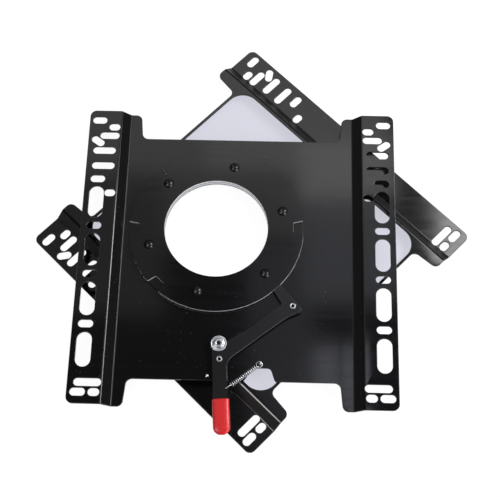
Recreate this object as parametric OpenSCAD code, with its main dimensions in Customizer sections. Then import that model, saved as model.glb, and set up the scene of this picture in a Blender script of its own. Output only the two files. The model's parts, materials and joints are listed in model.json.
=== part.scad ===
// Swivel seat base: two pressed sheet-steel plates that turn on each other about a
// clamped ring, held at set angles by a sprung hand lever. Lengths are in millimetres.
// The origin is on the swivel axis, at the underside of the lower plate's web. The
// lower plate lies square to X and Y, with its head edge towards +Y.

/* [Plates] */
// Width of each plate, over its two side flanges
plate_w = 430; // [415:1:470]
// Length of each plate, along its side flanges
plate_l = 426; // [410:1:470]
// Thickness of the sheet steel
sheet = 3; // [2.5:0.1:3.5]
// Distance from a plate's left edge to the swivel axis
axis_from_side = 185; // [180:1:200]
// Distance from a plate's head edge to the swivel axis
axis_from_head = 175; // [170:1:190]
// Radius of the plates' outer corners
corner_r = 9; // [4:0.5:14]

/* [Side flanges] */
// Width of a flange's flat, from its edge to the fold line
flange_w = 44.5; // [43:0.5:50]
// Width that the sloping joggle takes
joggle_run = 12.5; // [11:0.5:16]
// Height by which the joggle sets the flange off the web
joggle_rise = 12; // [11:0.5:14]
// Inner radius of the folds
bend_r = 3; // [1.5:0.5:4]
// Length of the web ears that run on past the web's head edge
ear_l = 37.5; // [30:0.5:45]
// Width of an ear at its tip, from the inner fold line
ear_tip_w = 15; // [12:0.5:17]
// Width of an ear at its root, from the inner fold line
ear_root_w = 18.5; // [17.5:0.5:22]
// Radius of an ear's tip corner and of the corner at its root
ear_r = 8.5; // [4:0.5:9]

/* [Flange slots] */
// Width of the fixing slots
slot_w = 10.5; // [9:0.5:11]
// Length of the fixing slots nearest the four corners
corner_slot_l = 20; // [16:0.5:22]
// Distance of the corner slots from the plate's side edge
corner_slot_side = 14.5; // [13:0.5:16]
// Distance of the corner slots from the plate's head or foot edge
corner_slot_end = 15.5; // [12:0.5:16]
// Length of the wide slots along the upper plate's flanges
wide_slot_l = 47; // [36:0.5:50]
// Width of the wide slots
wide_slot_w = 20; // [16:0.5:21]
// Spacing of the slots along the upper plate's flanges
slot_pitch = 70.5; // [68:0.5:76]
// Distance of the slots along the flanges from the plate's side edge
row_slot_side = 18; // [16:0.5:20]

/* [Relief in the upper web] */
// Distance of the relief in the foot edge from the lever's pivot
relief_from_pivot = 34; // [30:0.5:36]
// Width of the relief at the foot edge
relief_w = 41; // [36:0.5:50]
// Depth of the relief
relief_d = 18; // [12:0.5:18]
// Lean of the relief's left side
relief_lean = 12.5; // [8:0.5:14]
// Radius in the relief's left corner
relief_r = 9; // [4:0.5:10]

/* [Lower web] */
// Width of the web left beside a window, from the inner fold line
side_strip_w = 4.5; // [3:0.5:10]
// Width of the web left between a window and the web's end
end_strip_w = 4; // [3:0.5:10]
// Radius of a window's outer corner
window_r = 25; // [15:1:30]
// Web left around the lock ring
disc_margin = 4; // [2:0.5:8]
// Width of the web arm that joins the middle to the right flange
side_arm_w = 110; // [80:1:120]
// Width of the web arm that joins the middle to the foot strip
foot_arm_w = 145; // [110:1:160]

/* [Turning ring] */
// Diameter of the hole through the middle
bore_d = 142; // [130:1:150]
// Radial width of the hub ring that the upper plate turns on
hub_w = 33; // [28:0.5:34]
// Radial width of the lock ring
ring_w = 49; // [46:0.5:52]
// Thickness of the lock ring
ring_t = 4; // [3:0.5:5]
// Gap that a slide washer fills, below and above the upper web
slip_gap = 2; // [1.5:0.1:3]
// Radius of the circle that the ring's screws lie on
screw_circle_r = 94.5; // [88:0.5:95]
// Diameter of the ring's screws
screw_d = 8; // [6:0.5:8]
// Diameter of a ring screw's head
screw_head_d = 14; // [12:0.5:15]
// Depth of a lock notch, in from the lock ring's rim
notch_depth = 14; // [8:0.5:14]
// Slope of a lock notch's sides
notch_slope = 13; // [8:1:15]

/* [Lever] */
// Thickness of the lever
lever_t = 4; // [3:0.5:5]
// Width of the lever's nose at its tip
nose_w = 14; // [10:0.5:15]
// Distance of the lever's pivot to the right of the swivel axis
pivot_x = 9.5; // [4:0.5:20]
// Distance of the pivot from the lock ring's rim, towards the foot
pivot_off_ring = 45; // [43:0.5:52]
// Distance of the webs' foot edges from the pivot
pivot_from_foot = 48.5; // [46:0.5:54]
// Width of the handle
handle_w = 19.5; // [19:0.5:22]
// Length of the handle past the upper web's foot edge
handle_reach = 69; // [60:0.5:80]
// Lean of the handle to the right, from straight towards the foot
handle_lean = 4; // [2:0.5:5]
// Diameter of the pivot bolt's shoulder
shoulder_d = 12; // [10:0.5:14]
// Diameter of the pivot bolt's flange
bolt_flange_d = 21.5; // [20:0.5:24]
// Length of the grip
grip_l = 46.5; // [35:0.5:50]
// Width of the grip
grip_w = 22.5; // [22.5:0.5:27]
// Thickness of the grip
grip_t = 10; // [8:0.5:12]
// Radius of the grip's end corners
grip_end_r = 10; // [5:0.5:11]

/* [Spring] */
// Outer diameter of the spring's coil
spring_d = 7.2; // [4.8:0.1:8]
// Diameter of the spring's wire
wire_d = 1.1; // [0.9:0.1:1.4]
// Radius of the spring's eye, to the middle of its wire
eye_r = 4; // [3.5:0.1:4.5]
// Diameter of the anchor pin
anchor_d = 3.5; // [3:0.1:4]

/* [Pose] */
// Angle by which the upper plate is turned from straight ahead
seat_turn = 46.4; // [0:0.1:360]

/* [Hidden] */
$fn = 96;

// Clearances
nose_gap = 0.3;
slide_gap = 0.1;
hole_gap = 0.1;
bolt_hole_gap = 0.25;
notch_gap = 0.4;

// Edges of a plate, seen from the swivel axis
x_left = -axis_from_side;
x_right = x_left + plate_w;
y_head = axis_from_head;
y_foot = y_head - plate_l;
web_head = y_head - ear_l;
ring_r = bore_d / 2 + ring_w;
pivot = [pivot_x, -ring_r - pivot_off_ring];
web_foot = pivot.y - pivot_from_foot;
fold_in = flange_w + joggle_run;

// Angle that the sheet turns through at each fold of the joggle
fold_turn = atan(joggle_rise / joggle_run);

// Rings about the swivel axis
bore_r = bore_d / 2;
hub_r = bore_r + hub_w;
hub_h = slip_gap + sheet + slip_gap;
seat_z = sheet + slip_gap;
ring_z = sheet + hub_h;
screw_count = 6;
screw_first = 30;
screw_head_h = 0.55 * screw_d;
nut_h = 0.8 * screw_d;
nut_across = 1.625 * screw_d;
lock_angles = [-45, 90, 135, 180];

// Lever, in the upper plate's own frame: z counts from its web's underside
lever_z = sheet + slip_gap + slide_gap;
lever_top = lever_z + lever_t;
handle_l = pivot_from_foot + handle_reach;
handle_end_r = 4;
nose_angle = -45;
nose_out = [cos(nose_angle), sin(nose_angle)];
nose_side = [-sin(nose_angle), cos(nose_angle)];
nose_tip = (ring_r + nose_gap) * nose_out;
elbow = nose_tip + 33 * nose_out - 3 * nose_side;
rivet_flange_r = 4.4;
rivet_r = 2.5;
rivet_bore_r = 1.75;
handle_rivet_at = on_handle(0, 21);
nose_rivet_at = elbow;
boss_r = 9;
bolt_thread_r = 4.9;
stop_r = 3;
stop_at = [pivot.x - handle_w / 2 - 4, web_foot + 4.5];

// Spring, from the hook's hole in the handle to the anchor pin
hook_at = on_handle(handle_w / 2 - 2.6, pivot_from_foot + 12.5);
anchor_at = [pivot.x + 55.5, web_foot + 23];
spring_line = anchor_at - hook_at;
spring_turn = atan2(spring_line.y, spring_line.x);
spring_z = sheet + 0.4 + spring_d / 2;
wire_r = wire_d / 2;
coil_mid_r = spring_d / 2 - wire_r;
eye_mid = norm(spring_line) + anchor_d / 2 + hole_gap + wire_r - eye_r;
coil_start = 8.5;
coil_end = eye_mid - eye_r;
turns = floor((coil_end - coil_start) / wire_d);
hook_z = lever_top + wire_r + hole_gap;

// Point to the right of the handle's middle line and so far along it from the pivot
function on_handle(aside, along) = pivot
    + aside * [cos(handle_lean), sin(handle_lean)] + along * [sin(handle_lean), -cos(handle_lean)];

function unit(v) = v / norm(v);
function short_turn(a) = a > 180 ? a - 360 : a < -180 ? a + 360 : a;

// Points of the arc of radius r that rounds the corner p between a and b
function corner(a, p, b, r) =
    r == 0 ? [p] :
    let (
        u = unit(a - p),
        v = unit(b - p),
        half = acos(u * v) / 2,
        set = r / tan(half),
        mid = p + unit(u + v) * r / sin(half),
        start = p + u * set - mid,
        end = p + v * set - mid,
        from = atan2(start.y, start.x),
        turn = short_turn(atan2(end.y, end.x) - from),
        steps = max(3, ceil(abs(turn) / 7.5))
    )
    [for (i = [0:steps]) mid + r * [cos(from + turn * i / steps), sin(from + turn * i / steps)]];

// Outline through corners given as [x, y, radius]
function rounded(path) =
    [for (i = [0:len(path) - 1])
        let (
            a = path[(i + len(path) - 1) % len(path)],
            p = path[i],
            b = path[(i + 1) % len(path)]
        )
        each corner([a.x, a.y], [p.x, p.y], [b.x, b.y], p.z)];

// Slot along X before it is turned, its length taken over the round ends
module slot(at, long, wide, turn = 0) {
    translate(at) rotate(turn) {
        square([long - wide, wide], center = true);
        for (end = [-1, 1]) {
            translate([end * (long - wide) / 2, 0]) circle(d = wide);
        }
    }
}

// Flat ring
module ring(inner, outer, thick) {
    linear_extrude(thick) difference() {
        circle(r = outer);
        circle(r = inner);
    }
}

module at_screw(i) {
    rotate(screw_first + 360 / screw_count * i) translate([screw_circle_r, 0]) children();
}

module seat_side() {
    translate([0, 0, seat_z]) rotate(-seat_turn) children();
}

// Pressed plates

// Section of a plate across its width, with its flanges set up from the web
module plate_section() {
    // A fold's inner and outer faces turn this far either side of its middle line
    mitre = sheet / 2 * tan(fold_turn / 2);
    outer_r = bend_r + sheet;
    flange_z = joggle_rise + sheet;
    polygon(rounded([
        [x_left, joggle_rise, 0],
        [x_left + flange_w - mitre, joggle_rise, bend_r],
        [x_left + fold_in - mitre, 0, outer_r],
        [x_right - fold_in + mitre, 0, outer_r],
        [x_right - flange_w + mitre, joggle_rise, bend_r],
        [x_right, joggle_rise, 0],
        [x_right, flange_z, 0],
        [x_right - flange_w - mitre, flange_z, outer_r],
        [x_right - fold_in - mitre, sheet, bend_r],
        [x_left + fold_in + mitre, sheet, bend_r],
        [x_left + flange_w + mitre, flange_z, outer_r],
        [x_left, flange_z, 0]
    ]));
}

// Sheet pressed to the section, with its flanges up or down from the web, and cut
// to the plan given as its child
module pressed_plate(flanges_down = false) {
    through = joggle_rise + sheet + 1;
    length = y_head - min(y_foot, web_foot);
    intersection() {
        translate([0, y_head, flanges_down ? sheet : 0]) mirror([0, 0, flanges_down ? 1 : 0])
            rotate([90, 0, 0]) linear_extrude(length) plate_section();
        translate([0, 0, -through]) linear_extrude(2 * through) children();
    }
}

// Draws its children at the left flange's edge and mirrored at the right one's
module on_both_flanges() {
    translate([x_left, 0]) children();
    translate([x_right, 0]) mirror([1, 0]) children();
}

// Outline of a plate: flanges over the whole length, web cut back between the ears.
// The points given as edge_cut are put into the web's foot edge, left to right.
module plate_plan(edge_cut = []) {
    tip = fold_in + ear_tip_w;
    root = fold_in + ear_root_w;
    polygon(rounded(concat(
        [[x_left, y_foot, corner_r], [x_left + tip, y_foot, ear_r], [x_left + root, web_foot, ear_r]],
        edge_cut,
        [[x_right - root, web_foot, ear_r], [x_right - tip, y_foot, ear_r], [x_right, y_foot, corner_r]],
        [[x_right, y_head, corner_r], [x_right - tip, y_head, ear_r], [x_right - root, web_head, ear_r]],
        [[x_left + root, web_head, ear_r], [x_left + tip, y_head, ear_r], [x_left, y_head, corner_r]]
    )));
}

// Fixing slots near the head and the foot, the same on both plates
module end_slots() {
    on_both_flanges() {
        slot([corner_slot_side, y_head - corner_slot_end], corner_slot_l, slot_w);
        slot([36, y_head - 26], 15.5, slot_w);
        slot([30, y_head - 39.5], 27, slot_w);
        slot([14, y_head - 48.5], corner_slot_l, slot_w, -35);
        slot([24, y_head - 63], 31.5, slot_w);
        slot([24, y_head - 86.5], 31.5, slot_w);
        slot([row_slot_side, y_head - 107], corner_slot_l, slot_w);
        slot([36, y_head - 128], 15, slot_w);
        slot([26.5, y_foot + corner_slot_end + 13], 36, slot_w);
        slot([35.5, y_foot + corner_slot_end], 15, slot_w);
        slot([corner_slot_side, y_foot + corner_slot_end], corner_slot_l, slot_w);
    }
}

// Slots along the upper plate's flanges: wide ones, and narrow ones between them
module row_slots() {
    first = y_head - 142;
    count = floor((first - y_foot - 45) / slot_pitch) + 1;
    on_both_flanges() {
        for (i = [0:count - 1]) {
            slot([row_slot_side, first - slot_pitch * i], wide_slot_l, wide_slot_w, 90);
            if (i > 0) {
                slot([row_slot_side, first - slot_pitch * (i - 0.5)], corner_slot_l, slot_w);
            }
        }
    }
}

// Windows in the lower web, around the disc under the rings and its two arms
module web_windows() {
    left = x_left + fold_in + side_strip_w;
    right = x_right - fold_in - side_strip_w;
    top = web_head - end_strip_w;
    bottom = web_foot + end_strip_w;
    disc = ring_r + disc_margin;
    slant = disc * sqrt(2);
    arm_top = 0;
    arm_bottom = arm_top - side_arm_w;
    foot_arm = foot_arm_w / 2;
    inner_r = 10;
    polygon(rounded([[left, top, window_r], [left, slant + left, inner_r], [top - slant, top, inner_r]]));
    polygon(rounded([[right, top, window_r], [slant - top, top, inner_r],
        [disc + 6, slant - disc - 6, 3 * inner_r], [disc + 6, arm_top, inner_r], [right, arm_top, inner_r]]));
    polygon(rounded([[right, bottom, window_r], [right, arm_bottom, inner_r],
        [foot_arm, arm_bottom, 2 * inner_r], [foot_arm, bottom, inner_r]]));
    polygon(rounded([[left, bottom, window_r], [-foot_arm, bottom, inner_r],
        [-foot_arm, foot_arm - slant, 2 * inner_r], [left, -slant - left, inner_r]]));
}

module screw_holes() {
    for (i = [0:screw_count - 1]) {
        at_screw(i) circle(d = screw_d + 2 * bolt_hole_gap);
    }
}

module lower_plate() {
    color("#1b1c1f") pressed_plate(flanges_down = true) difference() {
        plate_plan();
        end_slots();
        web_windows();
        circle(r = bore_r);
        screw_holes();
    }
}

module upper_plate() {
    left = pivot.x + relief_from_pivot;
    right = left + relief_w;
    top = web_foot + relief_d;
    relief = [[left, web_foot, 3], [left + relief_lean, top, relief_r],
        [right - relief_lean / 2, top, relief_r / 1.5], [right, web_foot, 3]];
    color("#1b1c1f") seat_side() pressed_plate() difference() {
        plate_plan(relief);
        end_slots();
        row_slots();
        circle(r = hub_r + hole_gap);
        translate(pivot) circle(r = boss_r + hole_gap);
        translate(stop_at) circle(r = stop_r - 0.5 + hole_gap);
        translate(anchor_at) circle(d = anchor_d + 2 * hole_gap);
    }
}

// Rings that clamp the upper plate and let it turn

module slide_washer(z) {
    translate([0, 0, z]) ring(hub_r + hole_gap, ring_r - 1, slip_gap - slide_gap);
}

module lower_slide_washer() {
    color("#1d1d1f") slide_washer(sheet);
}

module upper_slide_washer() {
    color("#1d1d1f") slide_washer(ring_z - slip_gap + slide_gap);
}

module hub_ring() {
    color("#c6c7c4") translate([0, 0, sheet]) linear_extrude(hub_h) difference() {
        circle(r = hub_r);
        circle(r = bore_r);
        screw_holes();
    }
}

// Notch that the lever's nose drops into, cut in from the rim towards the axis
module lock_notch() {
    root = ring_r - notch_depth;
    mouth = ring_r + 5;
    root_half = nose_w / 2 + notch_gap;
    mouth_half = root_half + (mouth - root) * tan(notch_slope);
    polygon([[root, -root_half], [mouth, -mouth_half], [mouth, mouth_half], [root, root_half]]);
}

module lock_ring() {
    color("#141415") translate([0, 0, ring_z]) linear_extrude(ring_t) difference() {
        circle(r = ring_r);
        circle(r = bore_r);
        screw_holes();
        for (angle = lock_angles) {
            rotate(angle) lock_notch();
        }
    }
}

// Button-head screw with a hexagon socket, its shank down through the nut
module ring_screw(i) {
    head_r = screw_head_d / 2;
    dome_r = (head_r * head_r + screw_head_h * screw_head_h) / (2 * screw_head_h);
    shank_l = ring_z + ring_t + nut_h + 1;
    color("#0f0f10") at_screw(i) translate([0, 0, ring_z + ring_t]) {
        difference() {
            rotate_extrude() intersection() {
                square([head_r, screw_head_h]);
                translate([0, screw_head_h - dome_r]) circle(r = dome_r);
            }
            translate([0, 0, screw_head_h / 2.2]) cylinder(h = screw_head_h, d = 0.72 * screw_d, $fn = 6);
        }
        translate([0, 0, -shank_l]) cylinder(h = shank_l, d = screw_d);
    }
}

module ring_nut(i) {
    color("#b4b7ba") at_screw(i) translate([0, 0, -nut_h]) linear_extrude(nut_h) difference() {
        circle(d = nut_across / cos(30), $fn = 6);
        circle(d = screw_d + 2 * hole_gap);
    }
}

// Lever pivot, stop and anchor on the upper plate

module pivot_boss() {
    color("#b4b7ba") seat_side() translate(pivot) ring(bolt_thread_r + hole_gap, boss_r, lever_z - slide_gap);
}

// Flanged button-head bolt: thread in the boss, shoulder through the lever
module pivot_bolt() {
    shoulder_h = lever_t + 2 * slide_gap;
    seat = lever_z - slide_gap;
    flange_r = bolt_flange_d / 2;
    flange_h = 1.4;
    dome_h = 4;
    color("#d4d6d9") seat_side() translate([pivot.x, pivot.y, 0]) {
        cylinder(h = seat, r = bolt_thread_r);
        translate([0, 0, seat]) cylinder(h = shoulder_h, d = shoulder_d);
        translate([0, 0, seat + shoulder_h]) difference() {
            rotate_extrude() {
                square([flange_r, flange_h]);
                polygon([[0, flange_h], [flange_r - 2.2, flange_h], [flange_r - 5.2, dome_h], [0, dome_h]]);
            }
            translate([0, 0, dome_h / 3]) cylinder(h = dome_h, d = 6.9, $fn = 6);
        }
    }
}

module stop_pin() {
    foot_r = stop_r - 0.5;
    color("#d4d6d9") seat_side() translate([stop_at.x, stop_at.y, 0]) {
        cylinder(h = sheet, r = foot_r);
        translate([0, 0, sheet]) cylinder(h = lever_top - sheet, r = stop_r);
        translate([0, 0, lever_top]) intersection() {
            cylinder(h = stop_r, r = stop_r);
            translate([0, 0, -stop_r]) sphere(r = stop_r * sqrt(2));
        }
    }
}

module spring_anchor() {
    head_z = spring_z + wire_d;
    color("#d4d6d9") seat_side() translate([anchor_at.x, anchor_at.y, 0]) {
        cylinder(h = head_z, d = anchor_d);
        translate([0, 0, head_z]) cylinder(h = 1, d = anchor_d + 1.2);
    }
}

// Extension spring: a closed coil drawn as its row of turns, an eye and a hook
module lever_spring() {
    color("#c9cbcd") seat_side() translate([hook_at.x, hook_at.y, 0]) rotate(spring_turn) {
        translate([coil_start, 0, spring_z]) rotate([0, 90, 0]) rotate_extrude() {
            square([coil_mid_r + wire_r / 3, turns * wire_d]);
            for (i = [0:turns - 1]) {
                translate([coil_mid_r, (i + 0.5) * wire_d]) circle(r = wire_r, $fn = 24);
            }
        }
        translate([eye_mid, 0, spring_z]) rotate_extrude() translate([eye_r, 0]) circle(r = wire_r, $fn = 24);
        translate([coil_start + turns * wire_d, 0, spring_z]) rotate([0, 90, 0])
            cylinder(h = eye_mid - eye_r - coil_start - turns * wire_d + wire_r, r = wire_r, $fn = 24);
        translate([0, 0, hook_z]) rotate([0, 90, 0])
            cylinder(h = coil_start + wire_r, r = wire_r, $fn = 24);
        translate([coil_start + wire_r, 0, spring_z]) cylinder(h = hook_z - spring_z + wire_r, r = wire_r, $fn = 24);
        translate([0, 0, lever_z]) cylinder(h = hook_z + wire_r - lever_z, r = wire_r, $fn = 24);
    }
}

// Bell-crank lever, its grip and its two rivets

// Outline of the lever: handle, knee, arm, elbow and nose
module lever_plan() {
    tip_half = nose_w / 2 * nose_side;
    throat = nose_tip + 20.5 * nose_out - (nose_w / 2 + 20.5 * tan(notch_slope)) * nose_side;
    tip_left = nose_tip - tip_half;
    tip_right = nose_tip + tip_half;
    half_w = handle_w / 2;
    difference() {
        union() {
            polygon(rounded([
                [each on_handle(-half_w, handle_l), handle_end_r],
                [each on_handle(half_w, handle_l), handle_end_r],
                [each on_handle(half_w, half_w + 14), 20],
                [elbow.x - 8, elbow.y - 17, 30],
                [elbow.x + 15.7, elbow.y - 6.5, 6],
                [tip_right.x, tip_right.y, 1],
                [tip_left.x, tip_left.y, 1],
                [throat.x, throat.y, 3],
                [pivot.x + 41.5, pivot.y + 23.5, 60],
                [pivot.x + 5, pivot.y + 1, 2],
                [each on_handle(-half_w, 0), 2]
            ]));
            translate(pivot) circle(r = half_w);
        }
        translate(pivot) circle(d = shoulder_d + 2 * hole_gap);
        translate(handle_rivet_at) circle(r = rivet_r + hole_gap);
        translate(nose_rivet_at) circle(r = rivet_r + hole_gap);
        translate(hook_at) circle(r = 1.3);
    }
}

module lock_lever() {
    color("#1a1a1b") seat_side() translate([0, 0, lever_z]) linear_extrude(lever_t) lever_plan();
}

// Dipped sleeve over the handle's end, oval across and rounded at its end
module lever_grip() {
    end_y = -handle_l - 3.5;
    half_w = grip_w / 2;
    color("#d52a2c") seat_side() translate([pivot.x, pivot.y, lever_z]) rotate(handle_lean) difference() {
        intersection() {
            translate([0, end_y + grip_l, lever_t / 2]) rotate([90, 0, 0])
                linear_extrude(grip_l) slot([0, 0], grip_w, grip_t);
            translate([0, 0, -grip_t]) linear_extrude(3 * grip_t) polygon(rounded([
                [-half_w, end_y, grip_end_r],
                [half_w, end_y, grip_end_r],
                [half_w, 0, 0],
                [-half_w, 0, 0]
            ]));
        }
        linear_extrude(lever_t) polygon(rounded([
            [-handle_w / 2, -handle_l, handle_end_r],
            [handle_w / 2, -handle_l, handle_end_r],
            [handle_w / 2, 0, 0],
            [-handle_w / 2, 0, 0]
        ]));
    }
}

// Hollow rivet: its lower flange slides on the web under the lever
module rivet(at) {
    foot_z = sheet + slide_gap;
    color("#d4d6d9") seat_side() translate([at.x, at.y, 0]) rotate_extrude() difference() {
        union() {
            translate([0, foot_z]) square([rivet_flange_r, lever_z - foot_z]);
            translate([0, foot_z]) square([rivet_r, lever_top - foot_z + 0.5]);
            translate([0, lever_top]) square([rivet_flange_r, 0.9]);
        }
        translate([0, foot_z - 1]) square([rivet_bore_r, lever_top]);
    }
}

module handle_rivet() {
    rivet(handle_rivet_at);
}

module nose_rivet() {
    rivet(nose_rivet_at);
}

lower_plate();
lower_slide_washer();
hub_ring();
upper_slide_washer();
lock_ring();
for (i = [1:screw_count]) {
    ring_screw(i);
    ring_nut(i);
}
upper_plate();
pivot_boss();
pivot_bolt();
stop_pin();
spring_anchor();
lever_spring();
lock_lever();
lever_grip();
handle_rivet();
nose_rivet();
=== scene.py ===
import json
import math

import bmesh
import bpy
from mathutils import Matrix, Vector


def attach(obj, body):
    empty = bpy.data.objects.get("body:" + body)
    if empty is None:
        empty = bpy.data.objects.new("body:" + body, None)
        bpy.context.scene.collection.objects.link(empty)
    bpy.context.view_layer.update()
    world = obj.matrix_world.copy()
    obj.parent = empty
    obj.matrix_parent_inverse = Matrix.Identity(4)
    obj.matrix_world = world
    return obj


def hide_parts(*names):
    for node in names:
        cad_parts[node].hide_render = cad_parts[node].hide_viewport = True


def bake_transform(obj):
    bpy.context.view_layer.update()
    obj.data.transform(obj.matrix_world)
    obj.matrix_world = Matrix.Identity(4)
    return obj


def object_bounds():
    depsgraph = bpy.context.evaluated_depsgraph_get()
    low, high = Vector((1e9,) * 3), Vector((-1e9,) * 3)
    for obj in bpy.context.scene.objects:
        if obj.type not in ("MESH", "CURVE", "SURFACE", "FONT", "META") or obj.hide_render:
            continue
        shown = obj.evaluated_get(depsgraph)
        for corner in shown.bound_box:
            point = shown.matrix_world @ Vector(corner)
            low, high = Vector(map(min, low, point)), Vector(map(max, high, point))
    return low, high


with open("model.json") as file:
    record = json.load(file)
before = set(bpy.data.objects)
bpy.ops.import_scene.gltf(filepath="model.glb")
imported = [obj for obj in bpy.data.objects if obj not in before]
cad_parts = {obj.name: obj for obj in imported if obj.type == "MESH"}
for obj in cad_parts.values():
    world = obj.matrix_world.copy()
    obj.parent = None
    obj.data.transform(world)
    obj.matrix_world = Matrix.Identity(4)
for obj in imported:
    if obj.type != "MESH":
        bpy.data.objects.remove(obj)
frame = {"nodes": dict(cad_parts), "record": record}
cad_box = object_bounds()
scene = bpy.context.scene
scene.view_settings.view_transform = "Standard"


# Camera
# The base lies on the floor and is looked down on from its foot end, 1.5 m off and
# 68 degrees up, with the seat plate square to the picture.
aim = Vector((0.0112, -0.0544, 0.008))
camera_turn = math.radians(-43.69)
camera_rise = math.radians(68.314)
camera_roll = math.radians(-1.283)
camera_far = 1.5167
camera_data = bpy.data.cameras.new("camera")
camera_data.lens = 80.04
camera_data.sensor_width = 36
camera = bpy.data.objects.new("camera", camera_data)
scene.collection.objects.link(camera)
camera.matrix_world = (
    Matrix.Translation(aim)
    @ Matrix.Rotation(camera_turn, 4, "Z")
    @ Matrix.Rotation(math.pi / 2 - camera_rise, 4, "X")
    @ Matrix.Translation((0, 0, camera_far))
    @ Matrix.Rotation(camera_roll, 4, "Z")
)
scene.camera = camera


# Floor
# A plain pale studio floor of matt board. The camera sees it almost white, with the
# base's own soft shadow left on it.
floor_half = 4.0
floor_drop = 0.0002
card_glow = 1.05


def linear(code):
    """Linear red, green, blue and alpha of an sRGB hex colour."""
    parts = [int(code[i:i + 2], 16) / 255 for i in (1, 3, 5)]
    return [p / 12.92 if p <= 0.04045 else ((p + 0.055) / 1.055) ** 2.4 for p in parts] + [1]


def add(tree, kind, settings={}, inputs={}):
    """Adds a shader node with its settings, and its inputs as values or links."""
    made = tree.nodes.new("ShaderNode" + kind)
    for name, value in settings.items():
        setattr(made, name, value)
    for name, value in inputs.items():
        if isinstance(value, bpy.types.NodeSocket):
            tree.links.new(value, made.inputs[name])
        else:
            made.inputs[name].default_value = value
    return made


def empty_material(name):
    """New material with nothing in its node tree."""
    material = bpy.data.materials.new(name)
    material.use_nodes = True
    material.node_tree.nodes.clear()
    return material, material.node_tree


def new_object(name, mesh, materials):
    """Links an object for the mesh and gives it its materials."""
    made = bpy.data.objects.new(name, mesh)
    for material in materials:
        mesh.materials.append(material)
    scene.collection.objects.link(made)
    return made


def studio_card(name, code, glow_share):
    """Matt card that looks its full colour to the eye and in reflections, and still
    takes some of the object's shadow. It lights the object as a plain matt card does."""
    material, tree = empty_material(name)
    rays = add(tree, "LightPath").outputs
    seen = rays["Is Camera Ray"]
    for kind in ("Is Glossy Ray", "Is Transmission Ray"):
        seen = add(tree, "Math", {"operation": "MAXIMUM"}, {0: seen, 1: rays[kind]}).outputs[0]
    share = add(tree, "Math", {"operation": "MULTIPLY"}, {0: seen, 1: glow_share})
    matt = add(tree, "BsdfDiffuse", inputs={"Color": linear(code)})
    glow = add(tree, "Emission", inputs={"Color": linear(code), "Strength": card_glow})
    mixed = add(tree, "MixShader", inputs={
        0: share.outputs[0], 1: matt.outputs[0], 2: glow.outputs[0],
    })
    add(tree, "OutputMaterial", inputs={"Surface": mixed.outputs[0]})
    return material


white_board = studio_card("matt_white_board", "#fefeff", glow_share=0.9)
floor_z = cad_box[0][2] - floor_drop
square = ((-1, -1), (1, -1), (1, 1), (-1, 1))
corners = [(x * floor_half, y * floor_half, floor_z) for x, y in square]
floor_mesh = bpy.data.meshes.new("floor")
floor_mesh.from_pydata(corners, [], [(0, 1, 2, 3)])
floor = new_object("floor", floor_mesh, [white_board])

# Under the lower plate lies a pale lilac sheet, cut out round the middle hole, so that the
# plate's windows look onto it: painted shade, greyer than the white floor round the base.
lilac_painted_shade = studio_card("pale_lilac_painted_shade_paper", "#d1d1dc", glow_share=0.85)
paper_lift = 0.0001
paper_half = (0.1558, 0.1738)
paper_mid = (0.0342, -0.0338)
hole_mid = (0.003, 0.003)
hole_r = 0.081
paper_steps = 96
least_slant = 1e-6
points = []
for i in range(paper_steps):
    angle = 2 * math.pi * i / paper_steps
    out = Vector((math.cos(angle), math.sin(angle)))
    to_edge = min(
        (paper_mid[k] + math.copysign(paper_half[k], out[k]) - hole_mid[k]) / out[k]
        for k in (0, 1) if abs(out[k]) > least_slant
    )
    for far in (hole_r, to_edge):
        spot = (hole_mid[0] + out.x * far, hole_mid[1] + out.y * far)
        points.append((*spot, floor_z + paper_lift))
quads = [[(2 * i + k) % len(points) for k in (0, 1, 3, 2)] for i in range(paper_steps)]
shade_paper_mesh = bpy.data.meshes.new("window_painted_shade_paper")
shade_paper_mesh.from_pydata(points, [], quads)
paper = new_object("window_painted_shade_paper", shade_paper_mesh, [lilac_painted_shade])


# Studio light
# Flat soft panels hang beyond the far side of the base, so that its black paint mirrors
# them there and stays dark nearer. Strips and panels to the right draw the plates' folds
# as bright lines, and three tilted lamps fill in from the left, the front and the right.
picture_right = Vector((math.cos(camera_turn), math.sin(camera_turn), 0))
picture_up = Vector((-math.sin(camera_turn), math.cos(camera_turn), 0))
white_watts = 4.0  # on a square metre of lamp, whose face is then just white: level 1
cool_white = "#e9ebf7"
panel_h = 1.0


def softbox(name, aside, ahead, high, wide, tall, level, tilted=False, code="#ffffff"):
    """Area lamp by its place to the picture's right, up and off the base, in metres.
    Its level is how bright its face is. It hangs flat, or is tilted to face the base."""
    lamp = bpy.data.lights.new(name, "AREA")
    lamp.shape = "RECTANGLE"
    lamp.size = wide
    lamp.size_y = tall
    lamp.energy = white_watts * wide * tall * level
    lamp.color = linear(code)[:3]
    box = bpy.data.objects.new(name, lamp)
    box.location = aim + picture_right * aside + picture_up * ahead + Vector((0, 0, high))
    box.rotation_euler = (0, 0, camera_turn)
    if tilted:
        box.rotation_euler = (box.location - aim).to_track_quat("Z", "Y").to_euler()
    scene.collection.objects.link(box)


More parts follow.
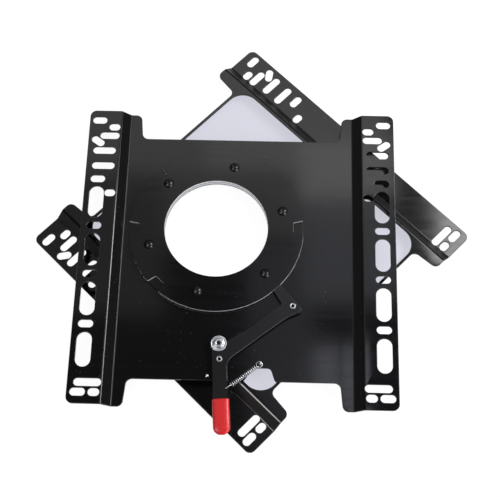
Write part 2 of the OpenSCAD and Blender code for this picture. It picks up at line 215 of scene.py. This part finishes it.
# In each row: the place aside, ahead and high, the size wide and tall, and the level.
softbox("far_panel", 0.12, 0.90, panel_h, 0.44, 0.44, 1.0)
softbox("far_middle_panel", 0.01, 0.64, panel_h, 0.22, 0.08, 1.1)
softbox("far_right_panel", 0.24, 0.605, panel_h, 0.24, 0.16, 1.6)
softbox("far_left_panel", -0.45, 0.90, panel_h, 0.70, 0.60, 0.75)
softbox("near_panel", -0.04, 0.51, panel_h, 0.32, 0.18, 0.45)
softbox("right_panel", 0.23, 0.405, panel_h, 0.22, 0.29, 0.72, code=cool_white)
softbox("right_strip", 0.17, 0.06, panel_h, 0.06, 0.20, 1.7, code=cool_white)
softbox("right_edge_strip", 0.40, 0.08, panel_h, 0.06, 0.40, 0.6, code=cool_white)
softbox("low_left_panel", -0.50, 0.42, panel_h, 0.60, 0.36, 0.22)
softbox("middle_strip", 0.065, 0.0, panel_h, 0.15, 0.80, 0.35, code=cool_white)
softbox("key_panel", 0.575, 0.46, panel_h, 0.25, 0.36, 6.0)
softbox("key_strip", 1.02, 0.25, panel_h, 0.46, 0.70, 13.0)
softbox("left_softbox", -0.72, -0.52, 1.0, 0.32, 0.85, 7.5, tilted=True)
softbox("low_front_softbox", 1.15, -0.95, 0.55, 0.8, 0.55, 9.0, tilted=True)
softbox("right_softbox", 1.55, 0.69, 1.30, 0.55, 0.42, 20.0, tilted=True)

# The room behind the lamps is dim. Near the horizon it is some three times as bright as
# from 20 degrees up, which lifts the slopes between the folds and leaves the flats dark.
# The camera sees the room plain white.
room = bpy.data.worlds.new("dim_room")
room.use_nodes = True
room.node_tree.nodes.clear()
scene.world = room
rays = add(room.node_tree, "LightPath")
facing = add(room.node_tree, "TexCoord").outputs["Generated"]
height = add(room.node_tree, "SeparateXYZ", inputs={"Vector": facing})
glow = add(room.node_tree, "MapRange", inputs={
    "Value": height.outputs["Z"],
    "From Min": 0.0, "From Max": 0.35, "To Min": 0.20, "To Max": 0.06,
})
dim = add(room.node_tree, "Background", inputs={
    "Color": linear("#f2f3f8"), "Strength": glow.outputs[0],
})
white = add(room.node_tree, "Background", inputs={"Color": linear("#fefeff"), "Strength": 1.0})
mixed = add(room.node_tree, "MixShader", inputs={
    0: rays.outputs["Is Camera Ray"], 1: dim.outputs[0], 2: white.outputs[0],
})
add(room.node_tree, "OutputWorld", inputs={"Surface": mixed.outputs[0]})


# Pressed plates
# Two plates of 3 mm cold-rolled sheet steel, blanked, joggled along both sides and
# coated with semi-gloss black paint. The lower one is bolted down, the upper one turns.
bodies = frame["record"]["behaviour"]["bodies"]
body_of = {name: body for body, names in bodies.items() for name in names}

# Corners of the mesh that are nearer than the weld are one corner, and an edge that
# turns further than sharp_from is sharp.
weld = 2e-6
sharp_from = math.radians(28)
nearly_in_line = 0.95
most_sides = 9


def in_place_of(made, node):
    """The piece stands for this CAD node, which it hides, and takes its body."""
    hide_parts(node)
    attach(made, body_of[node])


def smooth_fans(vert, sharp):
    """Groups the faces round a vertex that no sharp edge parts."""
    left = list(vert.link_faces)
    while left:
        fan, queue = [], [left.pop(0)]
        while queue:
            face = queue.pop()
            fan.append(face)
            for edge in face.edges:
                if vert in edge.verts and edge not in sharp:
                    for other in edge.link_faces:
                        if other in left:
                            left.remove(other)
                            queue.append(other)
        yield fan


def set_back(pulls):
    """Shift that sets a corner back from its one or two sharp edges, each by its width."""
    if len(pulls) == 2:
        (one, near), (two, far) = pulls
        lean = one.dot(two)
        if abs(lean) < nearly_in_line:
            shift = one * (near - lean * far) + two * (far - lean * near)
            return shift / (1 - lean * lean)
    return sum((out * size for out, size in pulls), Vector()) / max(1, len(pulls))


def split_corners(whole, sharp, width):
    """Gives a vertex one point for each smooth fan of faces round it, set back from the
    sharp edges. Returns the points, their normals, each face corner's point, and an
    empty rim for each vertex where three or more fans meet."""
    points, facings, at, rims = [], [], {}, {}
    for vert in whole.verts:
        fans = list(smooth_fans(vert, sharp))
        facing = []
        for fan in fans:
            corners = [(f, next(c for c in f.loops if c.vert is vert)) for f in fan]
            mean = sum((f.normal * c.calc_angle() for f, c in corners), Vector())
            facing.append(mean.normalized())
        fan_of = {face: i for i, fan in enumerate(fans) for face in fan}
        widths = [{} for fan in fans]
        for edge in vert.link_edges:
            if edge in sharp and len(edge.link_faces) == 2:
                i, j = (fan_of[face] for face in edge.link_faces)
                if i != j:
                    widths[i][j] = widths[j][i] = width if edge.is_convex else -width
        for i, fan in enumerate(fans):
            pulls = []
            for j, size in widths[i].items():
                out = facing[j] - facing[i] * facing[j].dot(facing[i])
                pulls.append((out.normalized(), size))
            for face in fan:
                at[face, vert] = len(points)
            points.append(vert.co - set_back(pulls))
            facings.append(facing[i])
        if len(fans) > 2:
            rims[vert] = {}
    return points, facings, at, rims


def edge_flats(whole, sharp, at, rims):
    """Flats that join the points on either side of each sharp edge. Their ends are noted
    in the rims, each point with the next one round the vertex."""
    flats = []
    for edge in whole.edges:
        if edge not in sharp or len(edge.link_faces) != 2:
            continue
        one, two = edge.link_faces
        start = next(c for c in one.loops if c.edge is edge)
        a, b = start.vert, start.link_loop_next.vert
        flat = [at[one, b], at[one, a], at[two, a], at[two, b]]
        flat = [p for k, p in enumerate(flat) if p != flat[k - 1]]
        if len(flat) > 2:
            flats.append(flat)
        if a in rims:
            rims[a][at[two, a]] = at[one, a]
        if b in rims:
            rims[b][at[one, b]] = at[two, b]
    return flats


def corner_caps(rims):
    """Small faces that close the corners where three or more flats meet."""
    caps = []
    for following in rims.values():
        start = next(iter(following), None)
        cap = [start]
        while following.get(cap[-1], start) != start and len(cap) < most_sides:
            cap.append(following[cap[-1]])
        if len(cap) > 2:
            caps.append(cap)
    return caps


def eased(node, width, materials, bare=None, hollow=None):
    """Puts a copy of a CAD node in its place, with each sharp edge broken by a narrow
    flat and shaded as round. The flats take the last material, faces that bare() picks
    the second, and faces that hollow() picks the third."""
    whole = bmesh.new()
    whole.from_mesh(frame["nodes"][node].data)
    bmesh.ops.remove_doubles(whole, verts=whole.verts, dist=weld)
    sharp = {
        e for e in whole.edges if len(e.link_faces) != 2 or e.calc_face_angle() > sharp_from
    }
    points, facings, at, rims = split_corners(whole, sharp, width)
    faces = [[at[f, v] for v in f.verts] for f in whole.faces]
    kinds = [1 if bare and bare(f) else 2 if hollow and hollow(f) else 0 for f in whole.faces]
    faces += edge_flats(whole, sharp, at, rims)
    faces += corner_caps(rims)
    kinds += [len(materials) - 1] * (len(faces) - len(kinds))
    whole.free()
    mesh = bpy.data.meshes.new(node + "_eased")
    mesh.from_pydata(points, [], faces)
    mesh.polygons.foreach_set("material_index", kinds)
    mesh.polygons.foreach_set("use_smooth", [True] * len(faces))
    mesh.normals_split_custom_set_from_vertices(facings)
    in_place_of(new_object(node + "_eased", mesh, materials), node)


def every(mm):
    """Scale at which a pattern comes round about once in so many millimetres."""
    return 1000 / mm


# Stove enamel over rolled steel: deep black with a clear gloss, in soft streaks 140 mm
# long and 7 mm wide along the rolling, with a fine peel of about 1.5 mm. Its few pale
# specks of dust come from a 2.4 mm pattern, as the real ones are too fine to show.
paint, tree = empty_material("semi_gloss_black_paint")
place = add(tree, "TexCoord").outputs["Object"]
cloudy = add(tree, "TexNoise", inputs={"Vector": place, "Scale": every(70), "Detail": 4.0})
tone = add(tree, "MixRGB", inputs={
    "Fac": cloudy.outputs[0], "Color1": linear("#070708"), "Color2": linear("#0a0a0b"),
})
specks = add(tree, "TexNoise", inputs={"Vector": place, "Scale": every(2.4), "Detail": 0.0})
dusty = add(tree, "MapRange", inputs={
    "Value": specks.outputs[0],
    "From Min": 0.82, "From Max": 0.86, "To Min": 0.0, "To Max": 0.25,
})
dusted = add(tree, "MixRGB", inputs={
    "Fac": dusty.outputs[0], "Color1": tone.outputs[0], "Color2": linear("#5a5a5e"),
})
seat_turn = math.radians(46.4)
streak_l = 0.14
streak_w = 0.007
squared = add(tree, "Mapping", {"vector_type": "TEXTURE"}, {
    "Vector": place, "Rotation": (0, 0, -seat_turn), "Scale": (streak_l, streak_w, streak_l),
})
streaks = add(tree, "TexNoise", inputs={
    "Vector": squared.outputs[0], "Scale": 1.0, "Detail": 3.0,
})
gloss = add(tree, "MapRange", inputs={
    "Value": streaks.outputs[0],
    "From Min": 0.35, "From Max": 0.7, "To Min": 0.10, "To Max": 0.15,
})
peel = add(tree, "TexNoise", inputs={"Vector": place, "Scale": every(1.5), "Detail": 1.0})
skin = add(tree, "Bump", inputs={
    "Strength": 0.02, "Distance": 0.0003, "Height": peel.outputs[0],
})
shader = add(tree, "BsdfPrincipled", inputs={
    "Base Color": dusted.outputs[0], "Roughness": gloss.outputs[0],
    "Normal": skin.outputs[0], "IOR": 1.5,
})
add(tree, "OutputMaterial", inputs={"Surface": shader.outputs[0]})

# The same enamel where it runs thick and dull, on slopes and in the hollows of bends: a
# broad, dim shine, uneven over some 3 mm.
dull_paint, tree = empty_material("black_paint_dull_in_hollows")
place = add(tree, "TexCoord").outputs["Object"]
grit = add(tree, "TexNoise", inputs={"Vector": place, "Scale": every(3), "Detail": 3.0})
tone = add(tree, "MixRGB", inputs={
    "Fac": grit.outputs[0], "Color1": linear("#060607"), "Color2": linear("#0c0c0d"),
})
gloss = add(tree, "MapRange", inputs={"Value": grit.outputs[0], "To Min": 0.36, "To Max": 0.5})
shader = add(tree, "BsdfPrincipled", inputs={
    "Base Color": tone.outputs[0], "Roughness": gloss.outputs[0], "IOR": 1.4,
})
add(tree, "OutputMaterial", inputs={"Surface": shader.outputs[0]})

# The same enamel drawn thin over a blanked edge, rubbed paler in patches of some 6 mm.
thin_paint, tree = empty_material("black_paint_thin_on_edges")
place = add(tree, "TexCoord").outputs["Object"]
rubbed = add(tree, "TexNoise", inputs={"Vector": place, "Scale": every(6), "Detail": 4.0})
tone = add(tree, "MixRGB", inputs={
    "Fac": rubbed.outputs[0], "Color1": linear("#0c0c0d"), "Color2": linear("#202023"),
})
gloss = add(tree, "MapRange", inputs={
    "Value": rubbed.outputs[0], "To Min": 0.2, "To Max": 0.3,
})
shader = add(tree, "BsdfPrincipled", inputs={
    "Base Color": tone.outputs[0], "Roughness": gloss.outputs[0], "IOR": 1.5,
})
add(tree, "OutputMaterial", inputs={"Surface": shader.outputs[0]})

# Mild steel as the punch or saw leaves it: pale grey and half bright, with fine lines
# 0.4 mm apart along the cut.
cut_steel, tree = empty_material("bare_cut_steel")
place = add(tree, "TexCoord").outputs["Object"]
drag = add(tree, "Mapping", inputs={
    "Vector": place, "Scale": (every(17), every(17), every(0.4)),
})
lines = add(tree, "TexNoise", inputs={"Vector": drag.outputs[0], "Scale": 1.0, "Detail": 3.0})
tone = add(tree, "MixRGB", inputs={
    "Fac": lines.outputs[0], "Color1": linear("#c6c7ca"), "Color2": linear("#e6e6e8"),
})
shader = add(tree, "BsdfPrincipled", inputs={
    "Base Color": tone.outputs[0], "Roughness": 0.55, "Metallic": 0.5,
})
add(tree, "OutputMaterial", inputs={"Surface": shader.outputs[0]})

# How far up or down a face looks, from 0 for a wall to 1 for a flat, tells it apart.
wall_to = 0.5
slope_from, slope_to = 0.6, 0.74
flat_from = 0.9995
round_bore = 0.075
long_bend = 0.05


def upright(face):
    """True on a wall."""
    return abs(face.normal.z) < wall_to


def round_wall(face):
    """True on the wall of the hole through the middle."""
    return upright(face) and face.calc_center_median().xy.length < round_bore


def hollow_bend(face):
    """True in the hollow of one of the long bends, between the flat and the slope."""
    if not slope_to < abs(face.normal.z) < flat_from:
        return False
    return any(e.calc_length() > long_bend and not e.is_convex for e in face.edges)


def slope_or_hollow(face):
    """True on a slope between two bends too."""
    return slope_from < abs(face.normal.z) <= slope_to or hollow_bend(face)


coats = [paint, cut_steel, dull_paint, thin_paint]
sheet_edge = 0.0007
eased("lower_plate", sheet_edge, coats, bare=round_wall, hollow=slope_or_hollow)
eased("upper_plate", sheet_edge, coats, hollow=hollow_bend)


# Turning rings
# A turned and zinc-plated steel hub, a slide ring of black nylon on either side of the
# upper plate, and a black lock ring cut from 4 mm plate, whose cut edges are left bright.

# Bright zinc plate over turned steel: a clear, slightly clouded silver. The clouds are
# 4 mm wide, coarser than the real crystals, which are too fine to show.
zinc, tree = empty_material("zinc_plated_steel")
place = add(tree, "TexCoord").outputs["Object"]
spangle = add(tree, "TexNoise", inputs={"Vector": place, "Scale": every(4), "Detail": 2.0})
tone = add(tree, "MixRGB", inputs={
    "Fac": spangle.outputs[0], "Color1": linear("#a6a8ac"), "Color2": linear("#c8cace"),
})
gloss = add(tree, "MapRange", inputs={
    "Value": spangle.outputs[0], "To Min": 0.36, "To Max": 0.46,
})
shader = add(tree, "BsdfPrincipled", inputs={
    "Base Color": tone.outputs[0], "Roughness": gloss.outputs[0], "Metallic": 1.0,
})
add(tree, "OutputMaterial", inputs={"Surface": shader.outputs[0]})

# Chemically blackened and oiled steel: a flat soft black, mottled in patches of 4 mm
# where the oil has dried.
oxide, tree = empty_material("black_oxide_steel")
place = add(tree, "TexCoord").outputs["Object"]
oil = add(tree, "TexNoise", inputs={"Vector": place, "Scale": every(4), "Detail": 3.0})
tone = add(tree, "MixRGB", inputs={
    "Fac": oil.outputs[0], "Color1": linear("#040405"), "Color2": linear("#0a0a0c"),
})
gloss = add(tree, "MapRange", inputs={"Value": oil.outputs[0], "To Min": 0.26, "To Max": 0.38})
shader = add(tree, "BsdfPrincipled", inputs={
    "Base Color": tone.outputs[0], "Roughness": gloss.outputs[0], "IOR": 1.45,
})
add(tree, "OutputMaterial", inputs={"Surface": shader.outputs[0]})

# Moulded nylon with carbon black in it: black and smooth, with a slight sheen and faint
# flow marks 3 mm wide.
nylon, tree = empty_material("black_nylon")
place = add(tree, "TexCoord").outputs["Object"]
marks = add(tree, "TexNoise", inputs={"Vector": place, "Scale": every(3), "Detail": 2.0})
tone = add(tree, "MixRGB", inputs={
    "Fac": marks.outputs[0], "Color1": linear("#040404"), "Color2": linear("#070707"),
})
shader = add(tree, "BsdfPrincipled", inputs={
    "Base Color": tone.outputs[0], "Roughness": 0.13, "IOR": 1.5,
})
add(tree, "OutputMaterial", inputs={"Surface": shader.outputs[0]})

# The hub's broken edges take the black oxide as painted shade: dark lines where it meets the
# rings stacked on it.
hub_shade_edge = 0.0009
slide_edge = 0.0002
lock_edge = 0.0004
eased("hub_ring", hub_shade_edge, [zinc, oxide])
eased("lower_slide_washer", slide_edge, [nylon])
eased("upper_slide_washer", slide_edge, [nylon])
eased("lock_ring", lock_edge, [paint, cut_steel, paint], bare=upright)


# Ring screws and nuts
# M8 button-head socket screws of black-oxide steel clamp the rings, each through to a
# zinc-plated hexagon nut under the lower plate.
def loft(name, rings, materials, closed=False, sharp=35, dark=()):
    """Skin over rings of points, capped at both ends or closed into a loop. The bands
    in dark take the second material, and the first band takes its cap along. Edges
    that turn by more than sharp degrees stay crisp."""
    count = len(rings[0])
    faces = []
    for k in range(len(rings) if closed else len(rings) - 1):
        near, far = k * count, (k + 1) % len(rings) * count
        for i in range(count):
            j = (i + 1) % count
            faces.append((near + i, near + j, far + j, far + i))
    if not closed:
        last = (len(rings) - 1) * count
        faces += [tuple(range(count)), tuple(range(last, last + count))]
    mesh = bpy.data.meshes.new(name)
    mesh.from_pydata([p for ring in rings for p in ring], [], faces)
    shape = bmesh.new()
    shape.from_mesh(mesh)
    bmesh.ops.recalc_face_normals(shape, faces=shape.faces)
    shape.to_mesh(mesh)
    shape.free()
    kinds = [int(i // count in dark) for i in range(len(faces))]
    if not closed:
        kinds[-2:] = [int(0 in dark), 0]
    mesh.polygons.foreach_set("material_index", kinds)
    mesh.polygons.foreach_set("use_smooth", [True] * len(faces))
    mesh.set_sharp_from_angle(angle=math.radians(sharp))
    return new_object(name, mesh, materials)


def hexagon(across):
    """Radius of a hexagon at an angle, from its size across the flats."""
    return lambda angle: across / 2 / math.cos(angle % (math.pi / 3) - math.pi / 6)


def turned(name, at, profile, materials, **how):
    """Piece turned about an upright axis: each (radius, height) in the profile is a ring.
    Sizes are in millimetres, at is in metres, and a radius may be a hexagon."""
    steps = 48
    rings = []
    for radius, height in profile:
        ring = []
        for i in range(steps):
            angle = 2 * math.pi * i / steps
            reach = radius(angle) if callable(radius) else radius
            out = Vector((reach * math.cos(angle), reach * math.sin(angle), height))
            ring.append(at + out / 1000)
        rings.append(ring)
    return loft(name, rings, materials, **how)


def arc(mid_r, mid_z, radius, start, end, steps=6):
    """Points of a rounded stretch of a profile, its angles counted from straight out."""
    turns = [math.radians(start + (end - start) * i / steps) for i in range(steps + 1)]
    return [(mid_r + radius * math.cos(t), mid_z + radius * math.sin(t)) for t in turns]


axis_r = 0.05  # the smallest ring, in place of a point on the axis
ring_top = 14.0
screw_count = 6
screw_first = 30
screw_circle_r = 94.5
screw_r = 4.0
screw_tip_z = -7.4
head_r = 7.0
crown_z = ring_top + 4.0
dome_r = 7.77
dome_mid_z = ring_top - 3.37
socket = hexagon(5.0)
socket_z = ring_top + 2.0
screw_profile = [
    (axis_r, socket_z - 0.6), (2.2, socket_z - 0.1), (socket, socket_z), (socket, crown_z),
    (3.0, crown_z), *arc(0, dome_mid_z, dome_r, 69, 28, steps=9), (head_r, ring_top + 0.1),
    (head_r - 0.2, ring_top), (screw_r, ring_top), (screw_r, screw_tip_z + 0.4),
    (screw_r - 0.4, screw_tip_z), (axis_r, screw_tip_z),
]
nut_side = hexagon(13.0)
nut_h = 6.4
nut_face_r = 6.3
nut_bore_r = 4.1
nut_bevel = 0.7
bore_bevel = 0.4
nut_profile = [
    (nut_bore_r, 0), (nut_face_r, 0), (nut_side, -nut_bevel), (nut_side, nut_bevel - nut_h),
    (nut_face_r, -nut_h), (nut_bore_r + bore_bevel, -nut_h),
    (nut_bore_r, bore_bevel - nut_h),
]
for k in range(screw_count):
    turn = math.radians(screw_first + 360 / screw_count * k)
    at = Vector((math.cos(turn), math.sin(turn), 0)) * screw_circle_r / 1000
    screw = turned(f"ring_screw_{k + 1}_button_head", at, screw_profile, [oxide])
    in_place_of(screw, f"ring_screw_{k + 1}")
    nut = turned(f"ring_nut_{k + 1}_hexagon", at, nut_profile, [zinc], closed=True)
    in_place_of(nut, f"ring_nut_{k + 1}")


# Lever pivot, stop and spring anchor
# Bright zinc-plated steel on the upper plate: a flanged shoulder bolt screwed down into a
# pressed-in boss, and two riveted pins.
seat_z = 5.0
pivot = (9.5, -165.0)
stop_at = (-4.25, -209.0)
stop_r = 3.0
anchor_at = (65.0, -190.5)
anchor_r = 1.75


def on_seat(x, y, z=0.0):
    """Point of the upper plate, in metres, from millimetres square to that plate."""
    turn = Matrix.Rotation(-seat_turn, 3, "Z")
    return turn @ Vector((x, y, z)) / 1000 + Vector((0, 0, seat_z / 1000))


boss_edge = 0.0003
eased("pivot_boss", boss_edge, [zinc])

# The bolt's socket, whose inside takes the black oxide as painted shade, its crown, its
# flange, and the shoulder with the thread under it.
bolt_socket = hexagon(5.2)
bolt = turned("pivot_bolt_flanged", on_seat(*pivot), [
    (axis_r, 7.6), (2.2, 8.0), (bolt_socket, 8.2), (bolt_socket, 12.7),
    (3.3, 13.2), (4.6, 13.3), *arc(5.0, 11.5, 1.7, 88, 12), (6.9, 10.7), (7.5, 10.3),
    (8.7, 10.25), *arc(9.95, 9.85, 0.75, 118, -20), (10.6, 9.2),
    (6.0, 9.2), (6.0, 5.0), (4.9, 5.0), (4.9, 0.3), (4.6, 0.0), (axis_r, 0.0),
], [zinc, oxide], sharp=40, dark=(0, 1, 2))
in_place_of(bolt, "pivot_bolt")

# The stop pin's crown is bright zinc, and its side is black.
stop = turned("stop_pin_domed", on_seat(*stop_at), [
    (axis_r, 10.3), (1.0, 10.2), (1.8, 9.9), (2.6, 9.3), (stop_r, 8.5), (stop_r, 3.0),
    (stop_r - 0.5, 3.0), (stop_r - 0.5, 0.2), (stop_r - 0.7, 0.0), (axis_r, 0.0),
], [zinc, paint], dark=(2, 3, 4))
in_place_of(stop, "stop_pin")
anchor = turned("spring_anchor_headed", on_seat(*anchor_at), [
    (axis_r, 8.5), (1.2, 8.45), (1.6, 8.2), (anchor_r, 7.8), (anchor_r, 0.2), (1.6, 0.0),
    (axis_r, 0.0),
], [zinc])
in_place_of(anchor, "spring_anchor")


# Lever
# Bell crank cut from 4 mm steel plate and painted satin black. It turns on the bolt, and
# two hollow zinc-plated rivets run on the plate under it.

# Air-dried black lacquer: a little softer than the plates' enamel, clouded over some
# 25 mm, with a peel of 1.1 mm.
satin, tree = empty_material("satin_black_paint")
place = add(tree, "TexCoord").outputs["Object"]
cloudy = add(tree, "TexNoise", inputs={"Vector": place, "Scale": every(25), "Detail": 4.0})
tone = add(tree, "MixRGB", inputs={
    "Fac": cloudy.outputs[0], "Color1": linear("#060607"), "Color2": linear("#0b0b0c"),
})
peel = add(tree, "TexNoise", inputs={"Vector": place, "Scale": every(1.1), "Detail": 1.0})
skin = add(tree, "Bump", inputs={
    "Strength": 0.15, "Distance": 0.0004, "Height": peel.outputs[0],
})
shader = add(tree, "BsdfPrincipled", inputs={
    "Base Color": tone.outputs[0], "Roughness": 0.28, "Normal": skin.outputs[0], "IOR": 1.5,
})
add(tree, "OutputMaterial", inputs={"Surface": shader.outputs[0]})

lever_edge = 0.0009
eased("lock_lever", lever_edge, [satin, thin_paint])

lever_z = 5.1
lever_top = 9.1
handle_lean = math.radians(4)
nose_angle = math.radians(-45)
nose_tip_r = 120.3
elbow_out = 33.0
elbow_aside = 3.0
rivet_along = 21.0
rivet_foot_z = 3.1
rivet_flange_r = 4.4
rivet_r = 2.5
rivet_bore_r = 1.75


def on_handle(aside, along):
    """Millimetres on the upper plate of a point to the right of the handle's middle line,
    and so far along it from the pivot."""
    return (
        pivot[0] + aside * math.cos(handle_lean) + along * math.sin(handle_lean),
        pivot[1] + aside * math.sin(handle_lean) - along * math.cos(handle_lean),
    )


elbow_r = nose_tip_r + elbow_out
elbow = (
    elbow_r * math.cos(nose_angle) + elbow_aside * math.sin(nose_angle),
    elbow_r * math.sin(nose_angle) - elbow_aside * math.cos(nose_angle),
)
# The rivets' lower flange, the neck through the lever, the lip rolled over, and the bore,
# whose inside takes the black oxide as painted shade.
rivet_profile = [
    (rivet_bore_r, rivet_foot_z), (4.2, rivet_foot_z), (rivet_flange_r, 3.3),
    (rivet_flange_r, 4.9), (4.2, lever_z), (rivet_r, lever_z), (rivet_r, lever_top),
    (3.9, lever_top), *arc(3.55, 9.5, 0.42, -30, 90, steps=4),
    *arc(2.75, 9.12, 0.8, 90, 180, steps=5), (1.95, 8.2),
]
bore_shade_bands = (len(rivet_profile) - 2, len(rivet_profile) - 1)
for name, spot in (("handle_rivet", on_handle(0, rivet_along)), ("nose_rivet", elbow)):
    rivet = turned(
        name + "_rolled", on_seat(*spot), rivet_profile, [zinc, oxide],
        closed=True, dark=bore_shade_bands,
    )
    in_place_of(rivet, name)


# Grip
# Sleeve of soft red vinyl, dipped over the end of the handle: a flat oval with a rolled
# lip and a rounded end.

# Dipped plastisol, pigmented throughout: a warm, slightly uneven red with a broad soft
# shine, and a little light under its skin. The unevenness of the dip is 8 mm wide.
vinyl, tree = empty_material("dipped_red_vinyl")
place = add(tree, "TexCoord").outputs["Object"]
flow = add(tree, "TexNoise", inputs={"Vector": place, "Scale": every(8), "Detail": 2.0})
tone = add(tree, "MixRGB", inputs={
    "Fac": flow.outputs[0], "Color1": linear("#b01618"), "Color2": linear("#ba1c1e"),
})
skin = add(tree, "Bump", inputs={
    "Strength": 0.2, "Distance": 0.0003, "Height": flow.outputs[0],
})
shader = add(tree, "BsdfPrincipled", inputs={
    "Base Color": tone.outputs[0], "Roughness": 0.36, "Normal": skin.outputs[0], "IOR": 1.5,
    "Subsurface Weight": 0.08, "Subsurface Radius": (0.002, 0.0006, 0.0005),
})
add(tree, "OutputMaterial", inputs={"Surface": shader.outputs[0]})

grip_start = 74.5
grip_end = 121.0
grip_half_w = 11.2
grip_half_t = 5.0
grip_around = 56
side_power = 0.62
top_power = 0.75
swell_in_width = 0.07
end_r = 10.0
end_steps = 12
end_power = 0.55
end_least = 0.1


def grip_ring(along, half_w, half_t):
    """Oval ring of the sleeve, so far along the handle from the pivot. Powers below one
    make it fuller than an ellipse."""
    ring = []
    for i in range(grip_around):
        angle = 2 * math.pi * i / grip_around
        right, up = math.cos(angle), math.sin(angle)
        aside = half_w * math.copysign(abs(right) ** side_power, right)
        lift = half_t * math.copysign(abs(up) ** top_power, up)
        ring.append(on_seat(*on_handle(aside, along), (lever_z + lever_top) / 2 + lift))
    return ring


# The mouth turns in round the handle, and the lip behind it is rolled thickest at 0.9 mm.
rings = [grip_ring(grip_start + 0.9, 9.8, 2.6), grip_ring(grip_start + 0.2, 10.2, 2.9)]
for slide, swell in (
    (0.0, 0.75), (0.3, 0.9), (0.9, 1.0), (1.7, 0.99), (2.6, 0.965),
    (6.0, 0.97), (14.0, 0.98), (24.0, 0.99),
):
    half_w = grip_half_w * (1 - swell_in_width * (1 - swell))
    rings.append(grip_ring(grip_start + slide, half_w, grip_half_t * swell))
for i in range(end_steps + 1):
    turn = math.radians(90 * i / end_steps)
    half_w = grip_half_w - end_r + end_r * math.cos(turn)
    half_t = grip_half_t * max(end_least, math.cos(turn)) ** end_power
    rings.append(grip_ring(grip_end - end_r + end_r * math.sin(turn), half_w, half_t))
grip = loft("lever_grip_sleeve", rings, [vinyl], sharp=60)
in_place_of(grip, "lever_grip")


# Spring
# Extension spring wound from 1 mm bright steel wire: its eye hangs on the anchor
# pin, and its hook goes over the handle's edge and down into a hole.

# Hard-drawn wire, bright and bare: pale steel with a soft shine that the drawing die
# leaves, drawn with grains of 1.4 mm because the real lines are too fine to show.
wire_steel, tree = empty_material("bright_spring_wire")
place = add(tree, "TexCoord").outputs["Object"]
drawn = add(tree, "TexNoise", inputs={"Vector": place, "Scale": every(1.4), "Detail": 2.0})
tone = add(tree, "MixRGB", inputs={
    "Fac": drawn.outputs[0], "Color1": linear("#b4b6b9"), "Color2": linear("#dcdddf"),
})
shader = add(tree, "BsdfPrincipled", inputs={
    "Base Color": tone.outputs[0], "Roughness": 0.42, "Metallic": 1.0,
})
add(tree, "OutputMaterial", inputs={"Surface": shader.outputs[0]})

hook_aside = 7.15
hook_along = 61.0
hook_at = on_handle(hook_aside, hook_along)
span = Vector((anchor_at[0] - hook_at[0], anchor_at[1] - hook_at[1]))
along = span.normalized()
across = Vector((-along.y, along.x))
wire_r = 0.5
wire_gap = 0.1
wire_sides = 10
hook_z = lever_top + wire_r + wire_gap
eye_r = 4.0
eye_mid = span.length + anchor_r + wire_gap + wire_r - eye_r
eye_first = 205
eye_step = 14
eye_steps = 24
eye_slope = 0.35
eye_gap = 0.8
coil_r = 3.0
coil_z = 7.0
coil_from = 8.5
coil_to = eye_mid - eye_r - eye_gap
coil_turns = 15
turn_steps = 18
pitch = (coil_to - coil_from) / coil_turns


def by_spring(out, side, z):
    """Point by its distance along the spring from the hook, to its side, and its height."""
    spot = Vector(hook_at) + along * out + across * side
    return on_seat(spot.x, spot.y, z)


def wire(name, points, radius, materials):
    """Round wire along the points, its section carried on without twist."""
    angles = [2 * math.pi * i / wire_sides for i in range(wire_sides)]
    rings = []
    side = (points[1] - points[0]).orthogonal().normalized()
    for k, point in enumerate(points):
        ahead = (points[min(k + 1, len(points) - 1)] - points[max(k - 1, 0)]).normalized()
        side = (side - ahead * side.dot(ahead)).normalized()
        other = ahead.cross(side)
        rings.append([
            point + (side * math.cos(a) + other * math.sin(a)) * radius for a in angles
        ])
    return loft(name, rings, materials, sharp=60)


# Up out of its hole, over the handle's edge and on to the coil, then round the coil and
# once round the eye, which slopes down a little so that its end passes its start.
path = [by_spring(*spot) for spot in (
    (0, 0, 5.4), (0, 0, 8.6), (0.25, 0, 9.4), (0.9, 0, hook_z), (3.0, 0, hook_z),
    (5.0, 0, hook_z), (6.6, 0.1, hook_z - 0.15), (7.6, 0.2, hook_z - 0.7),
)]
for i in range(coil_turns * turn_steps + 1):
    angle = math.radians(90 + 360 / turn_steps * i)
    side, lift = -coil_r * math.cos(angle), coil_r * math.sin(angle)
    path.append(by_spring(coil_from + pitch * i / turn_steps, side, coil_z + lift))
for i in range(eye_steps):
    angle = math.radians(eye_first + eye_step * i)
    ahead, side = eye_r * math.cos(angle), eye_r * math.sin(angle)
    lift = eye_slope * (1 - 2 * i / eye_steps)
    path.append(by_spring(eye_mid + ahead, side, coil_z + lift))

spring = wire("lever_spring_coiled", path, wire_r / 1000, [wire_steel])
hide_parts("lever_spring")
handle_side = 2.0
hook_end = tuple(by_spring(handle_side, 0, coil_z))
eye_end = tuple(by_spring(eye_mid - eye_r, 0, coil_z))
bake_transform(spring)
